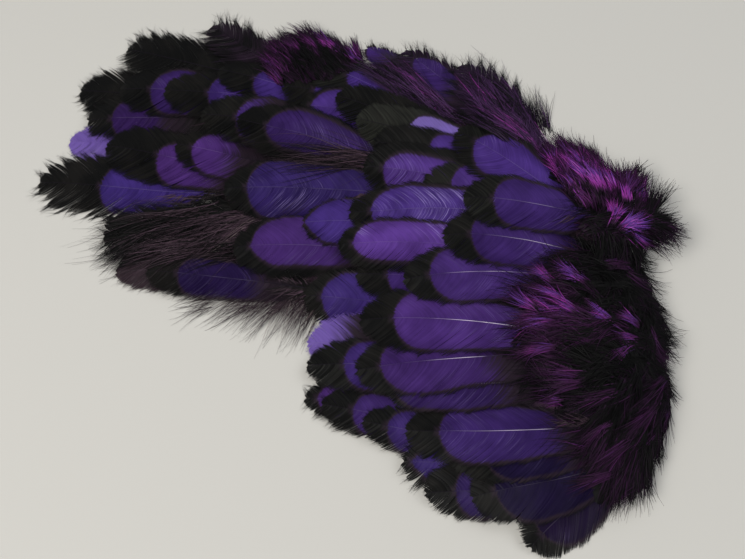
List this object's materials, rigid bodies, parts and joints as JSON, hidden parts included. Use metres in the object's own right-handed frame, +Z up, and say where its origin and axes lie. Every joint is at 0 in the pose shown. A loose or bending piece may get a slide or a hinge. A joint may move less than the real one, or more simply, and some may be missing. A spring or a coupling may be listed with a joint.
{
  "type": "hen soft hackle patch",
  "caption": "Patch of hen soft hackle: overlapping violet feathers with black lacing and magenta down, still rooted in their dried skin and lying flat.",
  "frame": {"origin": "on the table, at the middle of the skin's flat underside", "axes": "+Z up from the table; +X towards the roots of the feathers, -X towards their tips; +Y towards the upper edge of the fan"},
  "size_m": [0.183, 0.1663, 0.0155],
  "materials": {
    "dried_skin": "matt dried pelt, stained by the dye",
    "laced_vane": "violet feather vane with a black laced edge, soft satin",
    "dark_vane": "feather vane that is mostly black, violet near its base, soft satin",
    "lilac_vane": "paler lilac feather vane, soft satin",
    "mauve_vane": "brown-mauve feather vane, matt",
    "fluffy_vane": "feather vane with a loose hairy edge, matt",
    "down": "magenta, plum and black down, matt and fluffy"
  },
  "bodies": {
    "root": {"dark_tipped_feather_01": "dark_vane", "dark_tipped_feather_02": "dark_vane", "dark_tipped_feather_03": "dark_vane", "dark_tipped_feather_04": "dark_vane", "dark_tipped_feather_05": "dark_vane", "dark_tipped_feather_06": "dark_vane", "dark_tipped_feather_07": "dark_vane", "dark_tipped_feather_08": "dark_vane", "dark_tipped_feather_09": "dark_vane", "dark_tipped_feather_10": "dark_vane", "dark_tipped_feather_11": "dark_vane", "dark_tipped_feather_12": "dark_vane", "dark_tipped_feather_13": "dark_vane", "dark_tipped_feather_14": "dark_vane", "dark_tipped_feather_15": "dark_vane", "down_tuft_01": "down", "down_tuft_02": "down", "down_tuft_03": "down", "down_tuft_04": "down", "down_tuft_05": "down", "down_tuft_06": "down", "down_tuft_07": "down", "fluffy_edge_feather_01": "fluffy_vane", "fluffy_edge_feather_02": "fluffy_vane", "fluffy_edge_feather_03": "fluffy_vane", "fluffy_edge_feather_04": "fluffy_vane", "laced_feather_01": "laced_vane", "laced_feather_02": "laced_vane", "laced_feather_03": "laced_vane", "laced_feather_04": "laced_vane", "laced_feather_05": "laced_vane", "laced_feather_06": "laced_vane", "laced_feather_07": "laced_vane", "laced_feather_08": "laced_vane", "laced_feather_09": "laced_vane", "laced_feather_10": "laced_vane", "laced_feather_11": "laced_vane", "laced_feather_12": "laced_vane", "laced_feather_13": "laced_vane", "laced_feather_14": "laced_vane", "laced_feather_15": "laced_vane", "laced_feather_16": "laced_vane", "laced_feather_17": "laced_vane", "laced_feather_18": "laced_vane", "laced_feather_19": "laced_vane", "laced_feather_20": "laced_vane", "laced_feather_21": "laced_vane", "laced_feather_22": "laced_vane", "laced_feather_23": "laced_vane", "laced_feather_24": "laced_vane", "laced_feather_25": "laced_vane", "laced_feather_26": "laced_vane", "laced_feather_27": "laced_vane", "laced_feather_28": "laced_vane", "laced_feather_29": "laced_vane", "laced_feather_30": "laced_vane", "lilac_tipped_feather_01": "lilac_vane", "lilac_tipped_feather_02": "lilac_vane", "mauve_tipped_feather_01": "mauve_vane", "skin": "dried_skin"}
  },
  "joints": []
}
